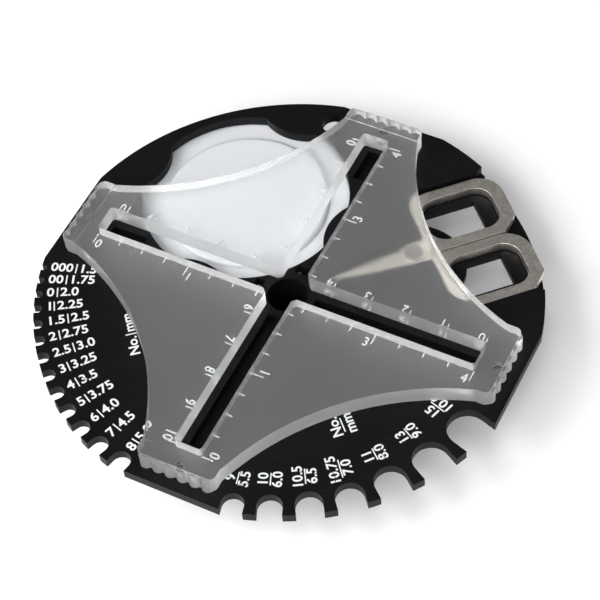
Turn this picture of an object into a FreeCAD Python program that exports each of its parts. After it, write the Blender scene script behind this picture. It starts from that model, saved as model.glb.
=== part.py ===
"""Pocket knitting gauge: needle-size plate, ruler window, tape measure and small scissors.

Frame: millimetres, +Z up, origin at the centre of the disc on the plane it stands on.
+X runs along one slot of the ruler window and +Y along the other.
The scissors are drawn in a local frame whose X axis points along the 45 degree diagonal.
"""
import math
import os
import re

import FreeCAD
import Part

V = FreeCAD.Vector

DIMENSIONS = {
    # whole tool
    "rim_radius": 62.2,
    "flat_distance": 60.6,
    "shell_height": 11.4,
    "plate_thickness": 2.6,
    "shell_wall": 1.6,
    "web_thickness": 1.6,
    # needle notches
    "tooth_width_small": 2.43,
    "tooth_width_large": 3.12,
    "first_small_angle": -164.0,
    "first_large_angle": -75.5,
    "notch_depth_ratio": 0.92,
    # openings in the plate
    "hub_radius": 5.0,
    "hub_post_radius": 7.0,
    "groove_width": 3.3,
    "groove_start": 7.0,
    "groove_end": 49.5,
    "groove_stub": 2.2,
    "groove_tip": 9.5,
    "lanyard_radius": 3.1,
    "lanyard_across": -13.8,
    "lanyard_along": 54.2,
    # web and stand rib under the plate
    "web_radius": 50.8,
    "stand_radius": 45.6,
    "stand_start": 188.0,
    "stand_sweep": 186.0,
    # ruler window
    "window_thickness": 4.8,
    "window_gap": 0.1,
    "arm_reach": 56.0,
    "waist_distance": 37.7,
    "waist_radius": 67.8,
    "slot_width": 7.1,
    "slot_reach": 50.8,
    "slot_corner": 0.8,
    "slot_chamfer": 1.0,
    "tip_start": 53.4,
    "tip_end": 57.3,
    "tip_half_width": 10.1,
    "tip_rise": 0.25,
    "tip_round": 1.6,
    "rib_radius": 1.6,
    "rib_reach": 0.7,
    "rib_pitch": 3.2,
    "rib_drop": 0.2,
    "rib_round": 0.7,
    "peg_radius": 1.1,
    "peg_length": 1.8,
    "peg_distance": 55.2,
    "peg_clearance": 0.08,
    "peg_room": 0.2,
    "peg_root": 0.8,
    # tape measure, about its own centre
    "tape_across": 23.8,
    "tape_hole_radius": 26.2,
    "lobe_reach": 23.2,
    "lobe_radius": 13.0,
    "tape_radius": 27.0,
    "sleeve_radius": 27.3,
    "sleeve_wall": 1.3,
    "exit_start": 14.5,
    "exit_width": 14.0,
    "exit_depth": 10.5,
    "tape_bottom": 0.8,
    "tape_split": 5.8,
    "tape_shoulder": 11.1,
    "plateau_radius": 21.0,
    "plateau_height": 1.3,
    "tape_wall": 1.4,
    "shoulder_round": 1.0,
    "plateau_round": 1.2,
    "post_radius": 2.6,
    "post_bottom": 5.0,
    "button_radius": 6.5,
    "button_clearance": 0.25,
    "button_collar": 8.2,
    "collar_thickness": 0.7,
    "collar_gap": 0.05,
    "button_proud": 0.3,
    "dish_depth": 0.5,
    "button_wire": 0.18,
    "button_coil_radius": 1.7,
    "button_turns": 3.0,
    "drum_flange_radius": 20.2,
    "drum_hub_radius": 13.2,
    "drum_wall": 0.8,
    "drum_bottom": 2.6,
    "drum_top": 10.0,
    "drum_room": 0.8,
    "cover_room": 0.4,
    "cover_fit": 0.06,
    "spring_turns": 6.0,
    "spring_pitch": 1.55,
    "spring_strip": 0.45,
    "spring_room": 0.2,
    "flange_thickness": 0.6,
    "ribbon_width": 5.2,
    "ribbon_lift": 0.1,
    "ribbon_step": 0.02,
    "ribbon_thickness": 0.35,
    "ribbon_coil_radius": 19.0,
    "mouth_width": 1.8,
    "mouth_room": 0.2,
    "case_screw_circle": 23.4,
    "case_boss_radius": 1.75,
    "case_screw_radius": 0.8,
    "case_screw_length": 7.6,
    "case_screw_head": 1.4,
    "case_screw_head_height": 0.8,
    "case_screw_sink": 0.3,
    "case_screw_room": 0.1,
    "ribbon_clearance": 0.05,
    "tab_distance": 22.5,
    "tab_length": 4.0,
    "tab_thickness": 1.8,
    "tab_height": 7.0,
    "tab_slot_ratio": 1.6,
    # scissors and their pocket, along the diagonal
    "bay_start": 35.9,
    "bay_half_width": 19.6,
    "bay_corner": 6.6,
    "channel_start": 9.6,
    "channel_half_width": 3.8,
    "mouth_flare_start": 57.0,
    "mouth_flare_angle": 38.0,
    "mouth_flare_length": 12.0,
    "mouth_flare_width": 8.0,
    "scissor_drop": 1.2,
    "scissor_gap": 0.3,
    "scissor_thickness": 2.4,
    "layer_gap": 0.04,
    "pivot_distance": 32.6,
    "boss_radius": 3.2,
    "loop_start": 36.5,
    "loop_end": 61.1,
    "loop_side": 18.9,
    "loop_seam": 0.15,
    "loop_bar": 2.8,
    "loop_rim_bar": 3.3,
    "loop_chamfer": 4.4,
    "loop_round_cut": 1.2,
    "loop_round_outer": 6.5,
    "loop_round_seam": 4.6,
    "loop_round_hole": 4.4,
    "blade_tip": 12.0,
    "blade_width": 3.0,
    "shank_gap": 0.4,
    "rivet_radius": 1.3,
    "rivet_clearance": 0.03,
    "rivet_head_radius": 2.3,
    "rivet_head_height": 0.6,
    "floor_window_start": 40.0,
    "floor_window_end": 53.7,
    "floor_window_inner": 4.3,
    "floor_window_outer": 13.8,
    "floor_boss_radius": 13.0,
    # fasteners
    "screw_circle": 40.0,
    "screw_radius": 1.1,
    "screw_hole_radius": 1.25,
    "screw_length": 3.5,
    "screw_head_radius": 2.1,
    "screw_head_height": 1.3,
    "screw_overlap": 0.2,
    "drive_ratio": 0.625,
    "drive_depth": 0.7,
    "pilot_room": 0.1,
}

SMALL_NOTCHES = [1.5, 1.75, 2.0, 2.25, 2.5, 2.75, 3.0, 3.25, 3.5, 3.75, 4.0, 4.5, 5.0]
LARGE_NOTCHES = [5.5, 6.0, 6.5, 7.0, 8.0, 9.0, 10.0]
SCREW_ANGLES = [-150.0, -110.0, -70.0, -30.0, 84.0]
CASE_SCREW_ANGLES = [30.0, 210.0, 270.0]
SCISSOR_ANGLE = 45.0
RIB_COUNT = 6
EDGE_OVERLAP = 1.0

doc = FreeCAD.newDocument("KnittingGauge")
sheet = doc.addObject("Spreadsheet::Sheet", "Dimensions")


def fill_sheet():
    """Write every driving dimension as a plain number with its alias."""
    for row, (alias, value) in enumerate(DIMENSIONS.items(), start=1):
        sheet.set("A%d" % row, alias)
        sheet.set("B%d" % row, str(value))
        sheet.setAlias("B%d" % row, alias)
    doc.recompute()


def formula(text):
    """Turn dimension names in a sum into references to the sheet."""
    return re.sub(r"[a-z][a-z_]+", lambda word: "Dimensions." + word.group(0)
                  if word.group(0) in DIMENSIONS else word.group(0), str(text))


def size(name):
    """Read one driving dimension back from the sheet."""
    return float(sheet.get(name))


def bind(item, **formulas):
    """Bind properties of a document object to formulas over the sheet."""
    for prop, text in formulas.items():
        item.setExpression(prop, formula(text))
    return item


def move(item, x="0", y="0", z="0", turn=None):
    """Place an object by formulas, with an optional fixed rotation."""
    if turn is not None:
        item.Placement = FreeCAD.Placement(V(0, 0, 0), turn)
    for axis, text in (("x", x), ("y", y), ("z", z)):
        item.setExpression("Placement.Base." + axis, formula(text))
    return item


def about_z(degrees):
    return FreeCAD.Rotation(V(0, 0, 1), degrees)


def box(name, x, y, z, length, width, height, turn=None):
    """A box with its low corner at x, y, z."""
    item = doc.addObject("Part::Box", name)
    bind(item, Length=length, Width=width, Height=height)
    return move(item, x, y, z, turn)


def middle_box(name, x, y, z, length, width, height):
    """A box centred on x and y that stands on z."""
    return box(name, "(%s) - (%s) / 2" % (x, length), "(%s) - (%s) / 2" % (y, width), z,
               length, width, height)


def cylinder(name, radius, z, height, x="0", y="0"):
    item = doc.addObject("Part::Cylinder", name)
    bind(item, Radius=radius, Height=height)
    return move(item, x, y, z)


def fuse(name, pieces):
    item = doc.addObject("Part::MultiFuse", name)
    item.Shapes = pieces
    item.Refine = True
    return item


def cut(name, base, tool):
    item = doc.addObject("Part::Cut", name)
    item.Base = base
    item.Tool = tool
    item.Refine = True
    return item


def common(name, base, tool):
    item = doc.addObject("Part::Common", name)
    item.Base = base
    item.Tool = tool
    item.Refine = True
    return item


def fillet(name, base, chooser, radius):
    """Round the edges of a base that the chooser picks, at a radius from the sheet."""
    doc.recompute()
    picks = [(n, radius(edge), radius(edge)) for n, edge in enumerate(base.Shape.Edges, start=1)
             if chooser(edge)]
    item = doc.addObject("Part::Fillet", name)
    item.Base = base
    item.Edges = picks
    return item


def chamfer(name, base, chooser, amount):
    """Cut the edges of a base that the chooser picks, by an amount from the sheet."""
    doc.recompute()
    picks = [(n, amount(edge), amount(edge)) for n, edge in enumerate(base.Shape.Edges, start=1)
             if chooser(edge)]
    item = doc.addObject("Part::Chamfer", name)
    item.Base = base
    item.Edges = picks
    return item


def is_upright(edge):
    low = edge.BoundBox
    return low.XLength < 1e-6 and low.YLength < 1e-6 and low.ZLength > 1e-6


def is_ring(edge, radius, height):
    """True for a circular edge of this radius at this height."""
    curve = edge.Curve
    return (isinstance(curve, Part.Circle) and abs(curve.Radius - radius) < 1e-4
            and abs(curve.Center.z - height) < 1e-4)


def polar(distance, degrees):
    angle = math.radians(degrees)
    return distance * math.cos(angle), distance * math.sin(angle)


def below(level):
    """A level one overlap under a face, where a cutter starts."""
    return "(%s) - %s" % (level, EDGE_OVERLAP)


def through(thickness):
    """The height of a cutter that passes right through, with an overlap at both ends."""
    return "(%s) + 2 * %s" % (thickness, EDGE_OVERLAP)


def four_ways(distance):
    """Formulas for four places on the +X, +Y, -X and -Y axes at one distance."""
    return [("(%s)" % distance, "0"), ("0", "(%s)" % distance),
            ("-(%s)" % distance, "0"), ("0", "-(%s)" % distance)]


PLATE_TOP = "shell_height + plate_thickness"
WINDOW_LOW = PLATE_TOP + " + window_gap"


# ---------------------------------------------------------------- needle notches

def notch_angles(widths, first_angle, tooth):
    """Angles of a row of notches whose teeth all have the same width at the rim."""
    angles = [first_angle]
    for before, after in zip(widths, widths[1:]):
        arc = (before + after) / 2 + tooth
        angles.append(angles[-1] + math.degrees(arc / size("rim_radius")))
    return angles


def notch_cutter(name, width, angle):
    """A slot with a round end, as wide as the needle that it measures."""
    turn = about_z(angle)
    centre = size("rim_radius") - size("notch_depth_ratio") * width + width / 2
    x, y = polar(centre, angle)
    round_end = cylinder(name + "_end", str(width / 2), below("shell_height"),
                         through("plate_thickness"), str(x), str(y))
    side_x, side_y = polar(width / 2, angle - 90.0)
    mouth = box(name + "_mouth", str(x + side_x), str(y + side_y),
                below("shell_height"), "rim_radius", str(width),
                through("plate_thickness"), turn)
    return fuse(name, [round_end, mouth])


def notch_cutters():
    rows = ((SMALL_NOTCHES, size("first_small_angle"), size("tooth_width_small")),
            (LARGE_NOTCHES, size("first_large_angle"), size("tooth_width_large")))
    cutters = []
    for widths, first_angle, tooth in rows:
        for width, angle in zip(widths, notch_angles(widths, first_angle, tooth)):
            cutters.append(notch_cutter("notch_%d" % round(width * 100), width, angle))
    return cutters


# ---------------------------------------------------------------- scissors pocket

def pocket_cutter(name, margin, low, high):
    """The space round the scissors, open at the rim, grown by a margin on every side."""
    bay = box(name + "_bay", "bay_start - (%s)" % margin, "-bay_half_width - (%s)" % margin, low,
              "rim_radius - bay_start + 2 * (%s)" % margin,
              "2 * bay_half_width + 2 * (%s)" % margin, "(%s) - (%s)" % (high, low))
    corner = size("bay_corner")
    rounded_bay = fillet(name + "_rounded_bay", bay,
                         lambda edge: is_upright(edge) and edge.BoundBox.XMin < size("loop_start"),
                         lambda edge: corner)
    channel = box(name + "_channel", "channel_start - (%s)" % margin,
                  "-channel_half_width - (%s)" % margin, low,
                  "bay_start - channel_start + 2 * (%s) + %s" % (margin, EDGE_OVERLAP),
                  "2 * channel_half_width + 2 * (%s)" % margin, "(%s) - (%s)" % (high, low))
    pocket = fuse(name, [rounded_bay, channel])
    pocket.Placement = FreeCAD.Placement(V(0, 0, 0), about_z(SCISSOR_ANGLE))
    return pocket


def mouth_flares():
    """Two wedges that open the pocket's sides outwards at the rim."""
    flares = []
    for side in (-1, 1):
        turn = about_z(SCISSOR_ANGLE + side * size("mouth_flare_angle"))
        corner = about_z(SCISSOR_ANGLE).multVec(V(size("mouth_flare_start"),
                                                  side * size("bay_half_width"), 0))
        inward = turn.multVec(V(0, -size("mouth_flare_width") if side > 0 else 0.0, 0))
        flares.append(box("mouth_flare_%s" % ("left" if side > 0 else "right"),
                          str(corner.x + inward.x), str(corner.y + inward.y),
                          below("shell_height"), "mouth_flare_length", "mouth_flare_width",
                          through("plate_thickness"), turn))
    return flares


# ---------------------------------------------------------------- black holder

def rim_disc(name, low, height):
    """A disc with four short flats, the outline that the plate and its back share."""
    disc = cylinder(name + "_round", "rim_radius", low, height)
    flats = middle_box(name + "_flats", "0", "0", low, "2 * flat_distance", "2 * flat_distance", height)
    return common(name, disc, flats)


def tape_hole():
    """Round hole with four rounded tabs that lap over the rim of the tape measure."""
    low = below("shell_height")
    height = through("plate_thickness")
    hole = cylinder("tape_hole_round", "tape_hole_radius", low, height,
                    "-tape_across", "tape_across")
    lobes = []
    for quarter, (x, y) in enumerate(four_ways("lobe_reach + lobe_radius")):
        lobes.append(cylinder("tape_lobe_%d" % quarter, "lobe_radius", low, height,
                              "-tape_across + " + x, "tape_across + " + y))
    return cut("tape_hole", hole, fuse("tape_lobes", lobes))


def screw_places():
    places = [polar(size("screw_circle"), angle) for angle in SCREW_ANGLES]
    return [(str(x), str(y)) for x, y in places]


def grooves():
    """Narrow slots under the ruler slots; those beside the tape hole stop short of it."""
    low = below("shell_height")
    height = through("plate_thickness")
    long_run = "groove_end - groove_start"
    half = "-groove_width / 2"
    return [
        box("groove_right", "groove_start", half, low, long_run, "groove_width", height),
        box("groove_front", half, "-groove_end", low, "groove_width", long_run, height),
        box("groove_left", "-groove_start - groove_stub", half, low, "groove_stub", "groove_width", height),
        box("groove_left_end", "-groove_end", half, low, "groove_tip", "groove_width", height),
        box("groove_back", half, "groove_start", low, "groove_width", "groove_stub", height),
        box("groove_back_end", half, "groove_end - groove_tip", low, "groove_width", "groove_tip", height),
    ]


def gauge_plate():
    low = below("shell_height")
    height = through("plate_thickness")
    openings = notch_cutters() + grooves() + mouth_flares()
    openings.append(tape_hole())
    openings.append(pocket_cutter("plate_pocket", "0", low, PLATE_TOP + " + %s" % EDGE_OVERLAP))
    openings.append(cylinder("plate_hub", "hub_radius", low, height))
    openings.append(cylinder("lanyard", "lanyard_radius", low, height,
                             "lanyard_across", "lanyard_along"))
    for quarter, (x, y) in enumerate(four_ways("peg_distance")):
        openings.append(cylinder("peg_socket_%d" % quarter, "peg_radius + peg_clearance",
                                 PLATE_TOP + " - peg_length - peg_room",
                                 "peg_length + peg_room + %s" % EDGE_OVERLAP, x, y))
    for number, (x, y) in enumerate(screw_places()):
        openings.append(cylinder("screw_pilot_%d" % number, "screw_radius", low,
                                 "screw_length - web_thickness + pilot_room + %s" % EDGE_OVERLAP, x, y))
    disc = rim_disc("plate_disc", "shell_height", "plate_thickness")
    return cut("gauge_plate", disc, fuse("plate_openings", openings))


def floor_windows():
    """Two openings in the scissors tray, round-ended towards the pivot."""
    windows = []
    for side in (-1, 1):
        low_t = "floor_window_inner" if side > 0 else "-floor_window_outer"
        opening = box("floor_window_box_%d" % side, "floor_window_start", low_t, "0",
                      "floor_window_end - floor_window_start",
                      "floor_window_outer - floor_window_inner", through("shell_height"))
        boss = cylinder("floor_boss_%d" % side, "floor_boss_radius", below("0"), "2 * shell_height",
                        "pivot_distance")
        window = cut("floor_window_%d" % side, opening, boss)
        window.Placement = FreeCAD.Placement(V(0, 0, 0), about_z(SCISSOR_ANGLE))
        windows.append(window)
    return windows


SCISSOR_LOW = PLATE_TOP + " - scissor_drop - scissor_thickness"
TRAY_FLOOR = SCISSOR_LOW + " - scissor_gap"


def back_shell():
    """Moulded back: web, tape sleeve, scissors tray, hub post and stand rib in one piece."""
    web_low = "shell_height - web_thickness"
    web = cylinder("web", "web_radius", web_low, "web_thickness")
    sleeve = cylinder("sleeve", "sleeve_radius + sleeve_wall", "0", "shell_height",
                      "-tape_across", "tape_across")
    post = cylinder("hub_post", "hub_post_radius", "0", "shell_height")
    rib_round = cylinder("stand_rib_round", "stand_radius", "0", "shell_height")
    bind(rib_round, Angle="stand_sweep")
    rib_round.Placement = FreeCAD.Placement(V(0, 0, 0), about_z(size("stand_start")))
    rib_inside = cylinder("stand_rib_inside", "stand_radius - shell_wall", below("0"),
                          through("shell_height"))
    rib = cut("stand_rib", rib_round, rib_inside)
    tray_low = TRAY_FLOOR + " - shell_wall"
    tray = pocket_cutter("tray_block", "shell_wall", tray_low, "shell_height")
    body = fuse("back_blocks", [web, sleeve, post, rib, tray])
    trimmed = common("back_trimmed", body, rim_disc("back_disc", "0", "shell_height"))

    hollow = cylinder("sleeve_inside", "sleeve_radius", below("0"), through("shell_height"),
                      "-tape_across", "tape_across")
    exit_gap = box("tape_exit", "-tape_across - sleeve_radius", "tape_across + exit_start", below("0"),
                   "exit_depth", "exit_width", "shell_height")
    well = cylinder("hub_well", "hub_radius", "shell_wall", "shell_height")
    pocket = pocket_cutter("tray_pocket", "0", TRAY_FLOOR, "shell_height + %s" % EDGE_OVERLAP)
    holes = [hollow, exit_gap, well, pocket] + floor_windows()
    for number, (x, y) in enumerate(screw_places()):
        holes.append(cylinder("screw_hole_%d" % number, "screw_hole_radius", "screw_head_height",
                              "shell_height", x, y))
    return cut("back_shell", trimmed, fuse("back_holes", holes))


def back_screws():
    """Five self-tapping screws from below, web into plate."""
    screws = []
    head_top = "shell_height - web_thickness"
    for number, (x, y) in enumerate(screw_places()):
        head = cylinder("screw_head_%d" % number, "screw_head_radius",
                        head_top + " - screw_head_height", "screw_head_height", x, y)
        shank = cylinder("screw_shank_%d" % number, "screw_radius",
                         head_top + " - screw_overlap", "screw_length + screw_overlap", x, y)
        drive = cylinder("screw_drive_%d" % number, "screw_radius * drive_ratio",
                         below(head_top + " - screw_head_height"),
                         "drive_depth + %s" % EDGE_OVERLAP, x, y)
        screws.append(cut("screw_%d" % number, fuse("screw_body_%d" % number, [head, shank]), drive))
    group = doc.addObject("Part::Compound", "back_screws")
    group.Links = screws
    return group


# ---------------------------------------------------------------- ruler window

def star():
    """Four arms with concave sides: a square less four large circles."""
    square = middle_box("star_square", "0", "0", WINDOW_LOW, "2 * arm_reach", "2 * arm_reach",
                        "window_thickness")
    waists = []
    for quarter in range(4):
        across, along = polar(size("waist_distance") + size("waist_radius"), 45.0 + 90.0 * quarter)
        waists.append(cylinder("waist_%d" % quarter, "waist_radius", below(WINDOW_LOW),
                               through("window_thickness"), str(across), str(along)))
    return cut("star_arms", square, fuse("waists", waists))


def ruler_slots():
    """The crossing slots, with rounded ends and cut corners where they meet."""
    low = below(WINDOW_LOW)
    height = through("window_thickness")
    slots = []
    for name, length, width in (("slot_across", "2 * slot_reach", "slot_width"),
                                ("slot_along", "slot_width", "2 * slot_reach")):
        slot = middle_box(name, "0", "0", low, length, width, height)
        slots.append(fillet(name + "_rounded", slot, is_upright, lambda edge: size("slot_corner")))
    half_side = (size("slot_width") + size("slot_chamfer")) / math.sqrt(2)
    corner = about_z(45.0).multVec(V(-half_side, -half_side, 0))
    slots.append(box("slot_crossing", str(corner.x), str(corner.y), low,
                     str(2 * half_side), str(2 * half_side), height, about_z(45.0)))
    return slots


def arm_tip(quarter):
    """Raised bar across the end of one arm, with upright ribs to pull it up by."""
    turn = about_z(90.0 * quarter)
    corner = turn.multVec(V(size("tip_start"), -size("tip_half_width"), 0))
    bar = box("tip_bar_%d" % quarter, str(corner.x), str(corner.y), WINDOW_LOW,
              "tip_end - tip_start", "2 * tip_half_width", "window_thickness + tip_rise", turn)
    far_corner = math.hypot(size("tip_end"), size("tip_half_width"))
    pieces = [fillet("tip_%d" % quarter, bar,
                     lambda edge: is_upright(edge) and edge.CenterOfMass.projectToPlane(
                         V(0, 0, 0), V(0, 0, 1)).Length > far_corner - 0.01,
                     lambda edge: size("tip_round"))]
    rib_top = "%s + window_thickness - rib_drop" % WINDOW_LOW
    top = (size("shell_height") + size("plate_thickness") + size("window_gap")
           + size("window_thickness") - size("rib_drop"))
    for number in range(RIB_COUNT):
        across = (number - (RIB_COUNT - 1) / 2) * size("rib_pitch")
        place = turn.multVec(V(size("tip_end") + size("rib_reach") - size("rib_radius"), across, 0))
        name = "rib_%d_%d" % (quarter, number)
        rod = cylinder(name, "rib_radius", WINDOW_LOW, "(%s) - (%s)" % (rib_top, WINDOW_LOW),
                       str(place.x), str(place.y))
        pieces.append(fillet(name + "_dome", rod, lambda edge: is_ring(edge, size("rib_radius"), top),
                             lambda edge: size("rib_round")))
    return pieces


def ruler_window():
    pieces = [cut("star_cut", star(), fuse("star_slots", ruler_slots()))]
    for quarter in range(4):
        pieces += arm_tip(quarter)
    for quarter, (x, y) in enumerate(four_ways("peg_distance")):
        pieces.append(cylinder("peg_%d" % quarter, "peg_radius", PLATE_TOP + " - peg_length",
                               "peg_length + window_gap + peg_root", x, y))
    return fuse("ruler_window", pieces)


# ---------------------------------------------------------------- tape measure

RIBBON_LOW = "drum_bottom + flange_thickness + ribbon_lift"


def at_tape(item):
    """Move a piece drawn about the Z axis to the centre of the tape measure."""
    return move(item, "-tape_across", "tape_across", "0")


def ring(name, outer, inner, low, height):
    return cut(name, cylinder(name + "_outer", outer, low, height),
               cylinder(name + "_inner", inner, below(low), through(height)))


def mouth(name):
    """The slot in the case wall that the ribbon comes out of, on the far side of the coil."""
    middle = "ribbon_coil_radius + ribbon_thickness / 2"
    return box(name, "-tape_radius - %s" % EDGE_OVERLAP, middle + " - mouth_width / 2",
               RIBBON_LOW + " - mouth_room", "tape_radius + %s" % EDGE_OVERLAP, "mouth_width",
               "ribbon_width + 2 * mouth_room")


def case_screw_places():
    return [tuple(str(value) for value in polar(size("case_screw_circle"), angle))
            for angle in CASE_SCREW_ANGLES]


def case_bosses(name, low, height):
    return [cylinder("%s_%d" % (name, number), "case_boss_radius", low, height, x, y)
            for number, (x, y) in enumerate(case_screw_places())]


def case_screw_holes(name, radius, low, height):
    return [cylinder("%s_%d" % (name, number), radius, low, height, x, y)
            for number, (x, y) in enumerate(case_screw_places())]


def tape_case_front():
    """Upper half of the case: shoulder, raised plateau, centre post and screw bosses."""
    shoulder = cylinder("front_shoulder", "tape_radius", "tape_split", "tape_shoulder - tape_split")
    plateau = cylinder("front_plateau", "plateau_radius", "tape_split",
                       "tape_shoulder + plateau_height - tape_split")
    block = fuse("front_block", [shoulder, plateau])
    top = size("tape_shoulder") + size("plateau_height")
    rounded = fillet("front_rounded", block,
                     lambda edge: is_ring(edge, size("tape_radius"), size("tape_shoulder"))
                     or is_ring(edge, size("plateau_radius"), top),
                     lambda edge: size("plateau_round") if is_ring(edge, size("plateau_radius"), top)
                     else size("shoulder_round"))
    wide = cylinder("front_wide", "tape_radius - tape_wall", below("tape_split"),
                    "tape_shoulder - tape_wall - shoulder_round / 2 - tape_split + %s" % EDGE_OVERLAP)
    deep = cylinder("front_deep", "plateau_radius - tape_wall", below("tape_split"),
                    "tape_shoulder + plateau_height - tape_wall - tape_split + %s" % EDGE_OVERLAP)
    hollow = cut("front_hollow", rounded, fuse("front_inside", [wide, deep, mouth("front_mouth")]))
    post = cylinder("front_post", "post_radius", "post_bottom",
                    "tape_shoulder + plateau_height - tape_wall / 2 - post_bottom")
    bosses = case_bosses("front_boss", "tape_split", "tape_shoulder - tape_split - shoulder_round / 2")
    pilots = case_screw_holes("front_pilot", "case_screw_radius", "0",
                              "tape_bottom + case_screw_length + pilot_room")
    solid = fuse("front_solid", [hollow, post] + bosses)
    return at_tape(cut("tape_case_front", solid, fuse("front_pilots", pilots)))


def tape_case_back():
    """Lower half of the case, with the hole for the push button."""
    block = cylinder("back_block", "tape_radius", "tape_bottom", "tape_split - tape_bottom")
    rounded = fillet("back_rounded", block,
                     lambda edge: is_ring(edge, size("tape_radius"), size("tape_bottom")),
                     lambda edge: size("plateau_round"))
    inside = cylinder("back_inside", "tape_radius - tape_wall", "tape_bottom + tape_wall", "tape_split")
    hollow = cut("back_hollow", rounded, inside)
    bosses = case_bosses("back_boss", "tape_bottom + tape_wall / 2",
                         "tape_split - tape_bottom - tape_wall / 2")
    button_hole = cylinder("button_hole", "button_radius + button_clearance", "0", "tape_split")
    holes = case_screw_holes("back_screw_hole", "case_screw_radius + case_screw_room", "0", "shell_height")
    recesses = case_screw_holes("back_recess", "case_screw_head + case_screw_room", "0",
                                "tape_bottom + case_screw_sink + case_screw_head_height")
    tools = fuse("back_tools", [button_hole, mouth("back_mouth")] + holes + recesses)
    return at_tape(cut("tape_case_back", fuse("back_solid", [hollow] + bosses), tools))


def case_screws():
    """Three small screws that hold the halves of the case together."""
    screws = []
    for number, (x, y) in enumerate(case_screw_places()):
        head = cylinder("case_head_%d" % number, "case_screw_head", "tape_bottom + case_screw_sink",
                        "case_screw_head_height", x, y)
        shank = cylinder("case_shank_%d" % number, "case_screw_radius",
                         "tape_bottom + case_screw_sink + screw_overlap",
                         "case_screw_length - case_screw_sink - screw_overlap", x, y)
        drive = cylinder("case_drive_%d" % number, "case_screw_radius * drive_ratio",
                         below("tape_bottom + case_screw_sink"),
                         "case_screw_head_height / 2 + %s" % EDGE_OVERLAP, x, y)
        screws.append(cut("case_screw_%d" % number, fuse("case_body_%d" % number, [head, shank]), drive))
    group = doc.addObject("Part::Compound", "case_screws")
    group.Links = screws
    return at_tape(group)


def tape_button():
    """Push button in the underside, kept in by its collar."""
    cap_low = "tape_bottom - button_proud"
    collar_low = "tape_bottom + tape_wall + collar_gap"
    cap = cylinder("button_cap", "button_radius", cap_low, "(%s) - (%s) + collar_thickness / 2"
                   % (collar_low, cap_low))
    collar = cylinder("button_collar_ring", "button_collar", collar_low, "collar_thickness")
    dish = doc.addObject("Part::Sphere", "button_dish")
    bind(dish, Radius="5 * button_radius")
    move(dish, "0", "0", cap_low + " + dish_depth - 5 * button_radius")
    return at_tape(cut("tape_button", fuse("button_block", [cap, collar]), dish))


def button_spring():
    """Small coil spring between the button's collar and the centre post."""
    low = size("tape_bottom") + size("tape_wall") + size("collar_gap") + size("collar_thickness")
    wire = size("button_wire")
    radius = size("button_coil_radius")
    rise = size("post_bottom") - low - 2 * wire
    helix = Part.makeHelix(rise / size("button_turns"), rise, radius)
    circle = Part.Wire([Part.makeCircle(wire, V(radius, 0, 0), V(0, 1, 0))])
    coil = Part.Wire(helix).makePipeShell([circle], True, True)
    item = doc.addObject("Part::Feature", "button_spring")
    item.Shape = coil
    item.Placement = FreeCAD.Placement(V(-size("tape_across"), size("tape_across"), low + wire),
                                       FreeCAD.Rotation())
    return item


def tape_drum():
    """Spool with one flange; the spring lies inside its hub and the ribbon round it."""
    hub = ring("drum_hub", "drum_hub_radius + drum_wall", "drum_hub_radius", "drum_bottom",
               "drum_top - drum_bottom")
    flange = ring("drum_flange", "drum_flange_radius", "button_collar + drum_room", "drum_bottom",
                  "flange_thickness")
    return at_tape(fuse("tape_drum", [hub, flange]))


def drum_cover():
    """Thin disc that closes the top of the drum and runs on the centre post."""
    return at_tape(ring("drum_cover", "plateau_radius - tape_wall - cover_room", "post_radius + cover_fit",
                        "drum_top", "flange_thickness"))


def spiral_strip(inner_radius, turns, pitch, thickness, height):
    """A wound strip: half circles about two centres, so every turn grows by one pitch."""
    def half_turns(start, step):
        edges = []
        for number in range(2 * turns):
            radius = start + number * pitch / 2
            centre = V(0 if number % 2 == 0 else pitch / 2, 0, 0)
            sign = 1 if number % 2 == 0 else -1
            edges.append(Part.Arc(centre + V(sign * radius, 0, 0), centre + V(0, sign * radius, 0),
                                  centre + V(-sign * radius, 0, 0)).toShape())
        return edges

    inner = half_turns(inner_radius, pitch)
    outer = half_turns(inner_radius + thickness, pitch)
    end_radius = inner_radius + turns * pitch
    caps = [Part.makeLine(V(inner_radius, 0, 0), V(inner_radius + thickness, 0, 0)),
            Part.makeLine(V(end_radius, 0, 0), V(end_radius + thickness, 0, 0))]
    face = Part.Face(Part.Wire(Part.__sortEdges__(inner + outer + caps)))
    return face.extrude(V(0, 0, height))


def power_spring():
    """Flat spring that winds the ribbon back in, wound round the centre post."""
    low = size("post_bottom") + size("spring_room") / 2
    item = doc.addObject("Part::Feature", "power_spring")
    item.Shape = spiral_strip(size("post_radius") + size("spring_room"), round(size("spring_turns")),
                              size("spring_pitch"), size("spring_strip"),
                              size("drum_top") - low - size("spring_room"))
    item.Placement = FreeCAD.Placement(V(-size("tape_across"), size("tape_across"), low),
                                       FreeCAD.Rotation())
    return item


def tape_ribbon():
    """The wound part of the tape, drawn as the pack that it forms on the drum."""
    return at_tape(ring("tape_ribbon", "ribbon_coil_radius", "drum_hub_radius + drum_wall",
                        RIBBON_LOW, "ribbon_width"))


def tape_run():
    """The straight stretch of ribbon from the coil to the pull tab."""
    reach = "tab_distance - tab_length / 4"
    return box("tape_run", "-tape_across - (%s)" % reach, "tape_across + ribbon_coil_radius + ribbon_step",
               RIBBON_LOW, reach, "ribbon_thickness", "ribbon_width")


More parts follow.
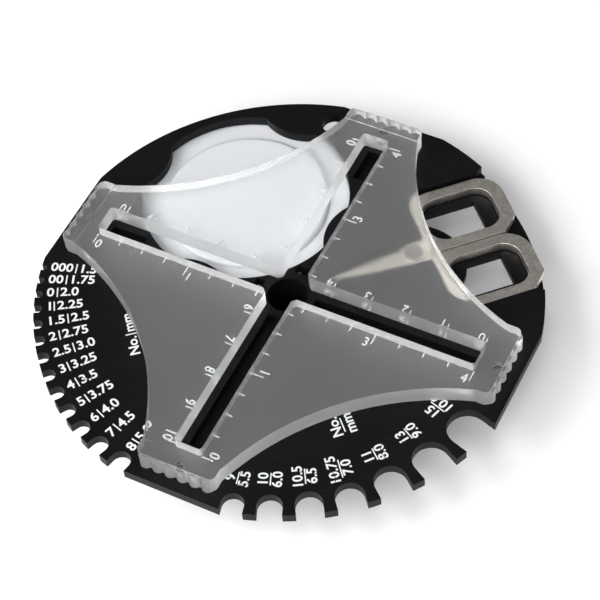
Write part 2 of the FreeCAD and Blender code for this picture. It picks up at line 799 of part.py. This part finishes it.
def tape_tab():
    """Pull tab clipped over the ribbon's end, just outside the case."""
    middle = "ribbon_coil_radius + ribbon_step + ribbon_thickness / 2"
    low = RIBBON_LOW + " + ribbon_width / 2 - tab_height / 2"
    plate = middle_box("tab_plate", "-tab_distance", middle, low,
                       "tab_length", "tab_thickness", "tab_height")
    slot = middle_box("tab_slot", "-tab_distance + tab_length / 2", middle,
                      RIBBON_LOW + " - ribbon_clearance", "tab_slot_ratio * tab_length",
                      "ribbon_thickness + 2 * ribbon_clearance", "ribbon_width + 2 * ribbon_clearance")
    return at_tape(cut("tape_tab", plate, slot))


# ---------------------------------------------------------------- scissors

def loop_ring(name, side):
    """Finger loop: a frame of bar with one cut corner at the rim and round corners elsewhere."""
    near = "loop_seam" if side > 0 else "-loop_side"
    outer = box(name + "_outer", "loop_start", near, SCISSOR_LOW, "loop_end - loop_start",
                "loop_side - loop_seam", "scissor_thickness")
    inner = box(name + "_inner", "loop_start + loop_bar",
                near + " + loop_bar", below(SCISSOR_LOW), "loop_end - loop_start - loop_bar - loop_rim_bar",
                "loop_side - loop_seam - 2 * loop_bar", through("scissor_thickness"))
    rim = size("loop_end")
    middle = side * (size("loop_side") + size("loop_seam")) / 2

    def is_cut(edge):
        return edge.BoundBox.XMax > rim - size("loop_chamfer") - 0.1 and edge.BoundBox.YMax < middle

    def corner_radius(edge):
        if is_cut(edge):
            return size("loop_round_cut")
        at_seam = abs(edge.BoundBox.YMin) < size("loop_side") / 2
        near_pivot = edge.BoundBox.XMin < (size("loop_start") + rim) / 2
        return size("loop_round_seam") if at_seam and near_pivot else size("loop_round_outer")

    cut_corner = chamfer(name + "_cut_corner", outer, lambda edge: is_upright(edge) and is_cut(edge),
                         lambda edge: size("loop_chamfer"))
    outer_round = fillet(name + "_outer_round", cut_corner, is_upright, corner_radius)
    inner_round = fillet(name + "_inner_round", inner, is_upright, lambda edge: size("loop_round_hole"))
    return cut(name, outer_round, inner_round)


def prism(name, points, low, height):
    """Upright prism over a polygon given in the scissors' own frame."""
    corners = [V(x, y, low) for x, y in points]
    item = doc.addObject("Part::Feature", name)
    item.Shape = Part.Face(Part.makePolygon(corners + corners[:1])).extrude(V(0, 0, height))
    return item


def scissor_half(name, side, layer):
    """One half: loop, crossing shank and blade; side is +1 for the loop on the left."""
    height = (size("scissor_thickness") - size("layer_gap")) / 2
    low = size("shell_height") + size("plate_thickness") - size("scissor_drop") - size("scissor_thickness")
    low += layer * (height + size("layer_gap"))
    pivot = size("pivot_distance")
    tip = size("blade_tip")
    boss = size("boss_radius")
    width = size("blade_width")
    blade = [(pivot, side * boss * 0.55), (tip, side * width * 0.12), (tip, -side * width * 0.03),
             (tip + 2 * width, -side * width * 0.5), (pivot - 1.3 * width, -side * width * 0.85),
             (pivot, -side * boss)]
    joint = size("loop_start") + size("loop_bar") * 0.6
    seam = size("loop_seam")
    past_channel = size("bay_start") + size("shank_gap")
    narrow = size("channel_half_width") - size("shank_gap")
    shank = [(pivot, -side * boss * 0.8), (joint, side * seam), (joint + boss, side * seam),
             (joint + seam, side * 3 * boss), (past_channel, side * narrow), (pivot, side * boss)]
    pieces = [loop_ring(name + "_loop", side),
              prism(name + "_blade", blade, low, height),
              prism(name + "_shank", shank, low, height),
              cylinder(name + "_boss", "boss_radius", str(low), str(height), "pivot_distance")]
    hole = cylinder(name + "_hole", "rivet_radius + rivet_clearance", "0", "2 * shell_height",
                    "pivot_distance")
    half = cut(name, fuse(name + "_blank", pieces), hole)
    half.Placement = FreeCAD.Placement(V(0, 0, 0), about_z(SCISSOR_ANGLE))
    return half


def scissor_left():
    """The half in the upper layer at the pivot."""
    return scissor_half("scissor_left", 1, 1)


def scissor_right():
    """The half in the lower layer at the pivot."""
    return scissor_half("scissor_right", -1, 0)


def scissor_rivet():
    """Rivet through both halves, with a low head on top."""
    shank = cylinder("rivet_shank", "rivet_radius", SCISSOR_LOW,
                     "scissor_thickness + rivet_head_height / 2", "pivot_distance")
    head = cylinder("rivet_head", "rivet_head_radius", SCISSOR_LOW + " + scissor_thickness + rivet_clearance",
                    "rivet_head_height", "pivot_distance")
    rivet = fuse("scissor_rivet", [shank, head])
    rivet.Placement = FreeCAD.Placement(V(0, 0, 0), about_z(SCISSOR_ANGLE))
    return rivet


# ---------------------------------------------------------------- build and write

PARTS = [gauge_plate, back_shell, back_screws, ruler_window, tape_case_front, tape_case_back,
         case_screws, tape_button, button_spring, tape_drum, drum_cover, power_spring, tape_ribbon, tape_run,
         tape_tab, scissor_left, scissor_right, scissor_rivet]


def check_document():
    """Stop if any object failed to compute."""
    bad = [item.Name for item in doc.Objects if "Invalid" in item.State or "Error" in item.State]
    if bad:
        raise RuntimeError("failed objects: " + ", ".join(bad))


def write_parts(nodes):
    os.makedirs("parts", exist_ok=True)
    for old in os.listdir("parts"):
        os.remove(os.path.join("parts", old))
    for name, item in nodes.items():
        shape = item.Shape
        if shape.isNull() or not shape.isValid():
            raise RuntimeError("bad shape: " + name)
        shape.exportStep("parts/%s.step" % name)
        print("%-18s solids %d volume %9.2f mm3" % (name, len(shape.Solids), shape.Volume))


fill_sheet()
built = {}
for make in PARTS:
    piece = make()
    piece.Label = make.__name__
    built[make.__name__] = piece
doc.recompute()
check_document()
write_parts(built)
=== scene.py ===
"""Looks of the pocket knitting gauge: materials, printing, ruler marks, tape and studio.

The CAD nodes keep their shapes and get procedural materials and softened edges. New pieces are
the printed needle sizes, the ruler marks under the ruler window, the ejector marks and the tape.
"""
import math

import bmesh
import bpy
from mathutils import Matrix, Vector


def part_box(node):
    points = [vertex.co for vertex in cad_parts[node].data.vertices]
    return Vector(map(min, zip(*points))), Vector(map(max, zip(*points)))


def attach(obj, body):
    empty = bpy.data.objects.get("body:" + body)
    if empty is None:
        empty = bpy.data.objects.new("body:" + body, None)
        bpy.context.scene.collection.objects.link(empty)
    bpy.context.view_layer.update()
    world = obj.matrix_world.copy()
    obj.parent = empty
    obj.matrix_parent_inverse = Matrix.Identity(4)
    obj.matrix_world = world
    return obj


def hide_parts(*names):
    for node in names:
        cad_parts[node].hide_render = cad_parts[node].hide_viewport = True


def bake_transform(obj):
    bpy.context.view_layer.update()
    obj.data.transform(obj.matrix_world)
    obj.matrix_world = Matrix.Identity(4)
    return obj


MM = 0.001

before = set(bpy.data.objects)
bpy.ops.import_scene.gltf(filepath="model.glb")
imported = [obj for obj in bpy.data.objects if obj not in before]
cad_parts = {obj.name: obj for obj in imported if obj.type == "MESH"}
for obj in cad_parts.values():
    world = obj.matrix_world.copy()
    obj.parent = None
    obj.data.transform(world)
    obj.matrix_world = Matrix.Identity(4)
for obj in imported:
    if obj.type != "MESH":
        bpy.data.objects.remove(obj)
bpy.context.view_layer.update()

# Sizes shared with the solids, in millimetres
RIM_RADIUS = 62.2
PLATE_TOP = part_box("gauge_plate")[1].z / MM
WINDOW_LOW = PLATE_TOP + 0.1
SLOT_EDGE = 3.55
SMALL_TOOTH = 2.43
LARGE_TOOTH = 3.12
FIRST_SMALL_ANGLE = -164.0
FIRST_LARGE_ANGLE = -75.5
NOTCH_DEPTH_RATIO = 0.92
INCH = 25.4

# Printing and ruler marks, in millimetres and degrees
CAP_PER_SIZE = 0.69
PRINT_THICKNESS = 0.03
SMALL_CAP = 2.45
SMALL_GAP = 1.0
SMALL_SHIFT = -0.4
SMALL_SLANT = 183.0
LARGE_CAP = 2.3
LARGE_GAP = 4.1
LARGE_SHIFT = -0.3
HEADING_CAP = 2.4
BAR_GAP = 0.8
BAR_WIDTH = 0.32
AFTER_BAR = 0.7
RULER_HALF = 50.0
HUB_CLEARANCE = 5.0
INCH_TICK = 2.9
QUARTER_TICK = 1.3
CENTIMETRE_TICK = 3.0
INCH_DIGIT_SHIFT = 1.4
CENTIMETRE_DIGIT_SHIFT = 1.5
EJECTOR_MARKS = [(-38.0, -20.6), (-23.5, -36.1), (19.3, -40.2), (-33.6, -44.7), (31.0, -43.8),
                 (13.4, -50.2), (42.0, -29.7), (15.0, 48.5), (40.0, -17.0)]

SMALL_SIZES = [("000", 1.5), ("00", 1.75), ("0", 2.0), ("1", 2.25), ("1.5", 2.5), ("2", 2.75),
               ("2.5", 3.0), ("3", 3.25), ("4", 3.5), ("5", 3.75), ("6", 4.0), ("7", 4.5), ("8", 5.0)]
LARGE_SIZES = [("9", 5.5), ("10", 6.0), ("10.5", 6.5), ("10.75", 7.0), ("11", 8.0), ("13", 9.0),
               ("15", 10.0)]


def notch_angles(widths, first_angle, tooth):
    """The same rule as the solids: teeth of equal width at the rim between the notches."""
    angles = [first_angle]
    for before, after in zip(widths, widths[1:]):
        angles.append(angles[-1] + math.degrees(((before + after) / 2 + tooth) / RIM_RADIUS))
    return angles


# ---------------------------------------------------------------- materials

class Nodes:
    """A material's node tree with short helpers for adding and linking nodes."""

    def __init__(self, name):
        self.material = bpy.data.materials.new(name)
        self.material.use_nodes = True
        self.tree = self.material.node_tree
        self.surface = self.tree.nodes["Principled BSDF"]
        self.output = self.tree.nodes["Material Output"]
        self.place = self.add("TexCoord").outputs["Object"]

    def add(self, kind, **settings):
        node = self.tree.nodes.new("ShaderNode" + kind)
        for key, value in settings.items():
            setattr(node, key, value)
        return node

    def link(self, output, target):
        self.tree.links.new(output, target)

    def set(self, **values):
        for key, value in values.items():
            self.surface.inputs[key.replace("_", " ")].default_value = value

    def noise(self, scale, detail=3.0):
        node = self.add("TexNoise")
        node.inputs["Scale"].default_value = scale
        node.inputs["Detail"].default_value = detail
        self.link(self.place, node.inputs["Vector"])
        return node.outputs["Fac"]

    def maths(self, operation, *values):
        """Combine numbers and other nodes' outputs into one value."""
        node = self.add("Math", operation=operation)
        for socket, value in zip(node.inputs, values):
            if isinstance(value, (int, float)):
                socket.default_value = value
            else:
                self.link(value, socket)
        return node.outputs["Value"]

    def upward_part(self, vector):
        """The Z of a vector output."""
        node = self.add("SeparateXYZ")
        self.link(vector, node.inputs["Vector"])
        return node.outputs["Z"]

    def spread(self, factor, low, high, start=0.3, end=0.7):
        """Map a factor onto a range of values."""
        node = self.add("MapRange")
        for name, value in (("From Min", start), ("From Max", end), ("To Min", low), ("To Max", high)):
            node.inputs[name].default_value = value
        self.link(factor, node.inputs["Value"])
        return node.outputs["Result"]

    def ramp(self, factor, low, high, start=0.3, end=0.7):
        """Map a factor onto two colours."""
        node = self.add("ValToRGB")
        node.color_ramp.elements[0].position = start
        node.color_ramp.elements[0].color = (*low, 1.0)
        node.color_ramp.elements[1].position = end
        node.color_ramp.elements[1].color = (*high, 1.0)
        self.link(factor, node.inputs["Fac"])
        return node.outputs["Color"]

    def colour(self, factor, low, high, start=0.3, end=0.7):
        """Let the base colour run between two colours."""
        self.link(self.ramp(factor, low, high, start, end), self.surface.inputs["Base Color"])

    def roughness(self, factor, low, high):
        """Let the roughness run between two values."""
        self.link(self.spread(factor, low, high), self.surface.inputs["Roughness"])

    def relief(self, height, depth, edge_radius=0.0):
        """Bump of a depth in metres, over edges softened to a radius."""
        bump = self.add("Bump")
        bump.inputs["Strength"].default_value = 1.0
        bump.inputs["Distance"].default_value = depth
        self.link(height, bump.inputs["Height"])
        if edge_radius:
            bevel = self.add("Bevel", samples=6)
            bevel.inputs["Radius"].default_value = edge_radius
            self.link(bevel.outputs["Normal"], bump.inputs["Normal"])
        self.link(bump.outputs["Normal"], self.surface.inputs["Normal"])


def moulded_black():
    """Satin black plastic with a fine spark-eroded grain."""
    look = Nodes("moulded_black")
    patches = look.noise(60.0, 4.0)
    look.colour(patches, (0.0030, 0.0031, 0.0036), (0.0048, 0.0049, 0.0056))
    look.roughness(patches, 0.40, 0.50)
    look.relief(look.noise(3500.0, 2.0), depth=0.000010, edge_radius=0.00012)
    look.set(IOR=1.46, Specular_IOR_Level=0.2)
    return look.material


def frosted_clear():
    """Clear plastic: smooth on top, frosted below and on its cut sides."""
    top_roughness = 0.14
    side_roughness = 0.42
    below_roughness = 0.75
    clearest = 0.98
    side_haze = 0.03
    light_let_through = (0.60, 0.61, 0.61, 1.0)

    look = Nodes("frosted_clear")
    below = look.spread(look.upward_part(look.place), 1.0, 0.0,
                        (WINDOW_LOW + 0.05) * MM, (WINDOW_LOW + 0.10) * MM)
    normal = look.add("NewGeometry").outputs["True Normal"]
    upright = look.maths("ABSOLUTE", look.upward_part(normal))
    side = look.spread(upright, 1.0, 0.0, 0.55, 0.9)
    grain = look.noise(1600.0, 4.0)
    matt = look.maths("MAXIMUM", look.spread(below, top_roughness, below_roughness, 0.0, 1.0),
                      look.spread(side, top_roughness, side_roughness, 0.0, 1.0))
    look.link(matt, look.surface.inputs["Roughness"])
    haze = look.maths("MULTIPLY_ADD", below, look.spread(grain, 0.006, 0.030),
                      look.maths("MULTIPLY", side, side_haze))
    look.link(look.maths("SUBTRACT", clearest, haze), look.surface.inputs["Transmission Weight"])
    look.set(Base_Color=(0.95, 0.95, 0.945, 1.0), IOR=1.49)
    look.relief(grain, depth=0.000006, edge_radius=0.0003)

    lamps = look.add("LightPath")
    through = look.add("BsdfTransparent")
    through.inputs["Color"].default_value = light_let_through
    share = look.add("MixShader")
    look.link(lamps.outputs["Is Shadow Ray"], share.inputs["Fac"])
    look.link(look.surface.outputs["BSDF"], share.inputs[1])
    look.link(through.outputs["BSDF"], share.inputs[2])
    look.link(share.outputs["Shader"], look.output.inputs["Surface"])
    return look.material


def white_plastic():
    """White satin moulding of the tape case."""
    tint = (0.70, 0.715, 0.74)
    darker = tuple(0.97 * part for part in tint)
    look = Nodes("white_plastic")
    patches = look.noise(45.0)
    look.colour(patches, darker, tint)
    look.roughness(patches, 0.34, 0.44)
    look.relief(look.noise(2500.0, 2.0), depth=0.000006, edge_radius=0.0008)
    look.set(Subsurface_Weight=0.15, Subsurface_Scale=0.0008, IOR=1.5)
    return look.material


def inner_plastic():
    """Grey plastic of the drum inside the tape case."""
    look = Nodes("inner_plastic")
    patches = look.noise(80.0)
    look.colour(patches, (0.30, 0.31, 0.33), (0.36, 0.37, 0.39))
    look.roughness(patches, 0.45, 0.6)
    look.relief(look.noise(2500.0), depth=0.00001, edge_radius=0.0001)
    return look.material


def steel(name, dark, light, roughness):
    """Metal with a fine even grain and slightly softened edges."""
    look = Nodes(name)
    grain = look.noise(1200.0)
    look.colour(grain, dark, light)
    look.roughness(grain, roughness * 0.85, roughness * 1.15)
    look.set(Metallic=1.0)
    look.relief(grain, depth=0.000004, edge_radius=0.0002)
    return look.material


def print_white():
    """Pad-printed white ink, slightly uneven in cover."""
    look = Nodes("print_white")
    look.colour(look.noise(2600.0, 2.0), (0.74, 0.75, 0.76), (0.86, 0.87, 0.88))
    look.set(Roughness=0.5)
    return look.material


def mark_white():
    """Matt raised marks moulded under the ruler window."""
    look = Nodes("mark_white")
    look.colour(look.noise(3000.0, 2.0), (0.62, 0.63, 0.64), (0.80, 0.81, 0.82))
    look.set(Roughness=0.4)
    return look.material


def tape_cloth():
    """Coated ribbon with a woven surface."""
    look = Nodes("tape_cloth")
    weave = look.add("TexWave", wave_type="BANDS", bands_direction="Z")
    weave.inputs["Scale"].default_value = 1800.0
    weave.inputs["Distortion"].default_value = 0.6
    look.link(look.place, weave.inputs["Vector"])
    look.colour(weave.outputs["Fac"], (0.78, 0.72, 0.42), (0.86, 0.80, 0.50), 0.2, 0.8)
    look.set(Roughness=0.55)
    look.relief(weave.outputs["Fac"], depth=0.00002)
    return look.material


def paint(node, material):
    """Give a CAD node one material."""
    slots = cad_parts[node].data.materials
    slots.clear()
    slots.append(material)


def soften(node, width, segments=2):
    """Round a CAD node's sharp edges without changing its mesh."""
    same_point = 0.000002
    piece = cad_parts[node]
    weld = piece.modifiers.new("weld", "WELD")
    weld.merge_threshold = same_point
    rounding = piece.modifiers.new("rounding", "BEVEL")
    rounding.width = width * MM
    rounding.segments = segments
    rounding.limit_method = "ANGLE"
    rounding.angle_limit = math.radians(40.0)
    rounding.harden_normals = True


# ---------------------------------------------------------------- lettering and marks

def add_piece(name, data, material):
    """Turn a built shape into a piece of one material in the scene."""
    mesh = bpy.data.meshes.new(name)
    data.to_mesh(mesh)
    data.free()
    mesh.materials.append(material)
    piece = bpy.data.objects.new(name, mesh)
    bpy.context.scene.collection.objects.link(piece)
    return piece


class Sheet:
    """Flat shapes of one thickness gathered into a single piece."""

    def __init__(self, name, low, thickness):
        self.name = name
        self.low = low
        self.thickness = thickness
        self.mesh = bmesh.new()

    def placed(self, x, y, turn, stretch):
        """Stretch a shape, turn it by an angle in degrees and move it to x, y."""
        return (Matrix.Translation((x, y, self.low + self.thickness / 2))
                @ Matrix.Rotation(math.radians(turn), 4, "Z")
                @ Matrix.Diagonal((*stretch, 1.0)))

    def bar(self, x, y, length, width, turn):
        """A straight bar centred on x, y and turned by an angle in degrees."""
        bmesh.ops.create_cube(self.mesh, size=1.0,
                              matrix=self.placed(x, y, turn, (length, width, self.thickness)))

    def text(self, words, x, y, turn, cap_height, wide=1.06, align="CENTER", weight=0.03):
        """Lettering whose middle height is at x, y; gives back its length."""
        curve = bpy.data.curves.new("words", "FONT")
        curve.body = words
        curve.size = cap_height / CAP_PER_SIZE
        curve.align_x = align
        curve.align_y = "CENTER"
        curve.offset = weight * cap_height
        curve.extrude = self.thickness / 2
        curve.resolution_u = 3
        holder = bpy.data.objects.new("words", curve)
        bpy.context.scene.collection.objects.link(holder)
        shape = bpy.data.meshes.new_from_object(holder.evaluated_get(
            bpy.context.evaluated_depsgraph_get()))
        length = wide * max(point.co.x for point in shape.vertices)
        shape.transform(self.placed(x, y, turn, (wide, 1.0, 1.0)))
        self.mesh.from_mesh(shape)
        bpy.data.objects.remove(holder)
        bpy.data.curves.remove(curve)
        bpy.data.meshes.remove(shape)
        return length

    def finish(self, body, material, slot):
        """Turn the gathered shapes into a piece that rides on a body."""
        bmesh.ops.scale(self.mesh, vec=(MM, MM, MM), verts=self.mesh.verts)
        piece = add_piece(self.name, self.mesh, material)
        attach(piece, body)


def at_angle(radius, degrees):
    """Point at a distance from the centre, in a direction in degrees."""
    angle = math.radians(degrees)
    return radius * math.cos(angle), radius * math.sin(angle)


def needle_sizes():
    """Printed size beside each notch: one line for the small ones, a fraction for the large."""
    sheet = Sheet("needle_sizes", PLATE_TOP, PRINT_THICKNESS)
    widths = [width for _, width in SMALL_SIZES]
    angles = notch_angles(widths, FIRST_SMALL_ANGLE, SMALL_TOOTH)
    for (label, width), angle in zip(SMALL_SIZES, angles):
        radius = RIM_RADIUS - NOTCH_DEPTH_RATIO * width - SMALL_GAP
        x, y = at_angle(radius, angle + SMALL_SHIFT)
        pair(sheet, label, str(width), x, y, angle + SMALL_SLANT, SMALL_CAP)
    widths = [width for _, width in LARGE_SIZES]
    angles = notch_angles(widths, FIRST_LARGE_ANGLE, LARGE_TOOTH)
    for (label, width), angle in zip(LARGE_SIZES, angles):
        radius = RIM_RADIUS - NOTCH_DEPTH_RATIO * width - LARGE_GAP
        fraction(sheet, label, str(width), radius, angle + LARGE_SHIFT, LARGE_CAP)
    return sheet


def fraction(sheet, upper, lower, radius, angle, cap_height):
    """Two sizes with a bar between them, read from the rim towards the centre."""
    x, y = at_angle(radius, angle)
    up = Vector(at_angle(1.0, angle - 90.0))
    line_gap = 0.5
    overhang = 1.2
    bar_width = 0.3
    lift = cap_height / 2 + line_gap
    lengths = []
    for side, words in ((1, upper), (-1, lower)):
        lengths.append(sheet.text(words, x + side * up.x * lift, y + side * up.y * lift,
                                  angle + 180.0, cap_height))
    sheet.bar(x, y, max(lengths) + overhang, bar_width, angle + 180.0)


def pair(sheet, left, right, x, y, turn, cap_height):
    """Two sizes on one line with an upright bar between them."""
    along = Vector(at_angle(1.0, turn))
    step = sheet.text(left, x, y, turn, cap_height, align="LEFT") + BAR_GAP
    sheet.bar(x + along.x * step, y + along.y * step, BAR_WIDTH, cap_height * 1.15, turn)
    step += AFTER_BAR
    sheet.text(right, x + along.x * step, y + along.y * step, turn, cap_height, align="LEFT")


def legends(sheet):
    """Generic headings for the two scales of needle sizes."""
    pair(sheet, "No.", "mm", -25.2, -30.8, 130.0, HEADING_CAP)
    fraction(sheet, "No.", "mm", math.hypot(28.8, 28.3), -45.0, HEADING_CAP)


def ruler_marks():
    """Ticks and digits along the slots, with the top of each digit towards its slot."""
    sheet = Sheet("ruler_marks", WINDOW_LOW - 0.02, 0.12)
    digit_height = 2.5
    digit_distance = 6.3

    def tick(along, side, vertical, length, width=0.24):
        middle = side * (SLOT_EDGE + length / 2)
        if vertical:
            sheet.bar(middle, along, length, width, 0.0)
        else:
            sheet.bar(along, middle, width, length, 0.0)

    def digit(words, along, side, vertical):
        turn = {(1, False): 180.0, (-1, False): 0.0, (1, True): 90.0, (-1, True): 270.0}[side, vertical]
        across = side * digit_distance
        x, y = (across, along) if vertical else (along, across)
        sheet.text(words, x, y, turn, digit_height, wide=0.9, weight=0.01)

    for quarter in range(-8, 9):
        along = quarter * INCH / 4
        if abs(along) < HUB_CLEARANCE:
            continue
        whole = quarter % 4 == 0
        tick(along, -1, False, INCH_TICK if whole else QUARTER_TICK)
        tick(along, 1, True, INCH_TICK if whole else QUARTER_TICK)
        if whole:
            number = quarter // 4 + 2
            shift = INCH_DIGIT_SHIFT
            digit(str(number), along + (shift if number < 2 else -shift), -1, False)
            digit(str(number), along + (shift if number < 4 else -shift), 1, True)
    for number in range(11):
        along = RULER_HALF - 10.0 * number
        if abs(along) < HUB_CLEARANCE:
            continue
        shift = CENTIMETRE_DIGIT_SHIFT
        tick(along, 1, False, CENTIMETRE_TICK)
        tick(along, -1, True, CENTIMETRE_TICK)
        digit(str(number), along - shift if number < 10 else along + shift, 1, False)
        digit(str(number), along + shift if number else along - shift, -1, True)
    return sheet


def ejector_marks():
    """Round witness marks that the mould leaves on the plate: low rings."""
    profile = [(2.7, 0.0), (2.78, 0.035), (2.92, 0.035), (3.0, 0.0)]
    count = 48
    data = bmesh.new()
    for x, y in EJECTOR_MARKS:
        rows = []
        for radius, lift in profile:
            row = []
            for step in range(count):
                across, along = at_angle(radius, 360.0 * step / count)
                corner = Vector((x + across, y + along, PLATE_TOP + lift))
                row.append(data.verts.new(corner * MM))
            rows.append(row)
        for inner, outer in zip(rows, rows[1:]):
            for step in range(count):
                after = (step + 1) % count
                data.faces.new((inner[step], outer[step], outer[after], inner[after]))
    piece = add_piece("ejector_marks", data, black)
    for face in piece.data.polygons:
        face.use_smooth = True
    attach(piece, "holder")


def pulled_tape():
    """The straight run of tape from the case to its tab, built as a strip in place of the CAD run."""
    low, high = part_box("tape_run")
    count = 40
    data = bmesh.new()
    rows = []
    for step in range(count + 1):
        x = high.x + (low.x - high.x) * step / count
        corners = ((low.y, low.z), (high.y, low.z), (high.y, high.z), (low.y, high.z))
        rows.append([data.verts.new((x, y, z)) for y, z in corners])
    for one, two in zip(rows, rows[1:]):
        for side in range(4):
            after = (side + 1) % 4
            data.faces.new((one[side], one[after], two[after], two[side]))
    data.faces.new(rows[0])
    data.faces.new(list(reversed(rows[-1])))
    bmesh.ops.recalc_face_normals(data, faces=data.faces)
    piece = add_piece("tape_strip", data, cloth)
    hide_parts("tape_run")
    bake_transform(piece)


# ---------------------------------------------------------------- studio

def floor():
    """Pale paper under the object."""
    mesh = bpy.data.meshes.new("floor")
    reach = 3.0
    mesh.from_pydata([(-reach, -reach, 0), (reach, -reach, 0), (reach, reach, 0), (-reach, reach, 0)],
                     [], [(0, 1, 2, 3)])
    look = Nodes("paper")
    look.colour(look.noise(6.0), (0.90, 0.90, 0.90), (0.92, 0.92, 0.92))
    look.set(Roughness=0.9, Specular_IOR_Level=0.1, Emission_Color=(1.0, 1.0, 1.0, 1.0),
             Emission_Strength=0.16)
    mesh.materials.append(look.material)
    piece = bpy.data.objects.new("floor", mesh)
    bpy.context.scene.collection.objects.link(piece)


def softbox(name, azimuth, elevation, distance, size, power):
    """A white area lamp aimed at the middle of the object."""
    lamp = bpy.data.lights.new(name, "AREA")
    lamp.shape = "RECTANGLE"
    lamp.size = size[0]
    lamp.size_y = size[1]
    lamp.energy = power
    holder = bpy.data.objects.new(name, lamp)
    flat = math.cos(math.radians(elevation))
    place = Vector((flat * math.cos(math.radians(azimuth)), flat * math.sin(math.radians(azimuth)),
                    math.sin(math.radians(elevation)))) * distance
    holder.location = place
    holder.rotation_euler = place.to_track_quat("Z", "Y").to_euler()
    bpy.context.scene.collection.objects.link(holder)


def studio():
    """Three soft lamps in a dim room."""
    world = bpy.data.worlds.new("room")
    bpy.context.scene.world = world
    world.use_nodes = True
    background = world.node_tree.nodes["Background"]
    background.inputs["Color"].default_value = (0.95, 0.97, 1.0, 1.0)
    background.inputs["Strength"].default_value = 0.15
    softbox("key", -142.0, 40.0, 1.1, (0.7, 0.7), 10.0)
    softbox("front", -80.0, 38.0, 1.2, (0.9, 0.6), 9.5)
    softbox("overhead", -20.0, 80.0, 1.3, (0.8, 0.8), 3.0)


def camera():
    """View from the front right, 53 degrees up, with a slight roll."""
    azimuth = math.radians(31.003)
    elevation = math.radians(53.054)
    roll = math.radians(-5.666)
    distance = 511.259
    target = Vector((3.384, -0.174, PLATE_TOP))
    back = Vector((math.sin(azimuth) * math.cos(elevation), -math.cos(azimuth) * math.cos(elevation),
                   math.sin(elevation)))
    level = Vector((math.cos(azimuth), math.sin(azimuth), 0.0))
    upward = back.cross(level)
    right = level * math.cos(roll) + upward * math.sin(roll)
    up = -level * math.sin(roll) + upward * math.cos(roll)
    view = bpy.data.cameras.new("view")
    view.sensor_width = 36.0
    view.lens = 126.53
    view.clip_start = 0.05
    holder = bpy.data.objects.new("view", view)
    turn = Matrix((right, up, back)).transposed().to_4x4()
    holder.matrix_world = Matrix.Translation((target + back * distance) * MM) @ turn
    bpy.context.scene.collection.objects.link(holder)
    bpy.context.scene.camera = holder


# ---------------------------------------------------------------- assembly

black = moulded_black()
frosted = frosted_clear()
white = white_plastic()
grey = inner_plastic()
cloth = tape_cloth()
scissor_metal = steel("scissor_metal", (0.80, 0.745, 0.67), (0.92, 0.86, 0.775), 0.38)
rivet_metal = steel("rivet_metal", (0.42, 0.40, 0.37), (0.5, 0.48, 0.45), 0.25)
plated = steel("plated", (0.5, 0.5, 0.51), (0.6, 0.6, 0.61), 0.3)

for node, material in {
        "gauge_plate": black, "back_shell": black, "ruler_window": frosted,
        "tape_case_front": white, "tape_case_back": white, "tape_button": white, "tape_tab": white,
        "tape_drum": grey, "drum_cover": grey, "tape_ribbon": cloth, "tape_run": cloth,
        "scissor_left": scissor_metal, "scissor_right": scissor_metal, "scissor_rivet": rivet_metal,
        "back_screws": plated, "case_screws": plated, "power_spring": plated,
        "button_spring": plated}.items():
    paint(node, material)

for node in ("scissor_left", "scissor_right"):
    soften(node, 0.55, 3)

sizes = needle_sizes()
legends(sizes)
sizes.finish("holder", print_white(), "white_print")
ruler_marks().finish("window", mark_white(), "white_print")
ejector_marks()
pulled_tape()

floor()
studio()
camera()
bpy.context.scene.view_settings.view_transform = "Standard"
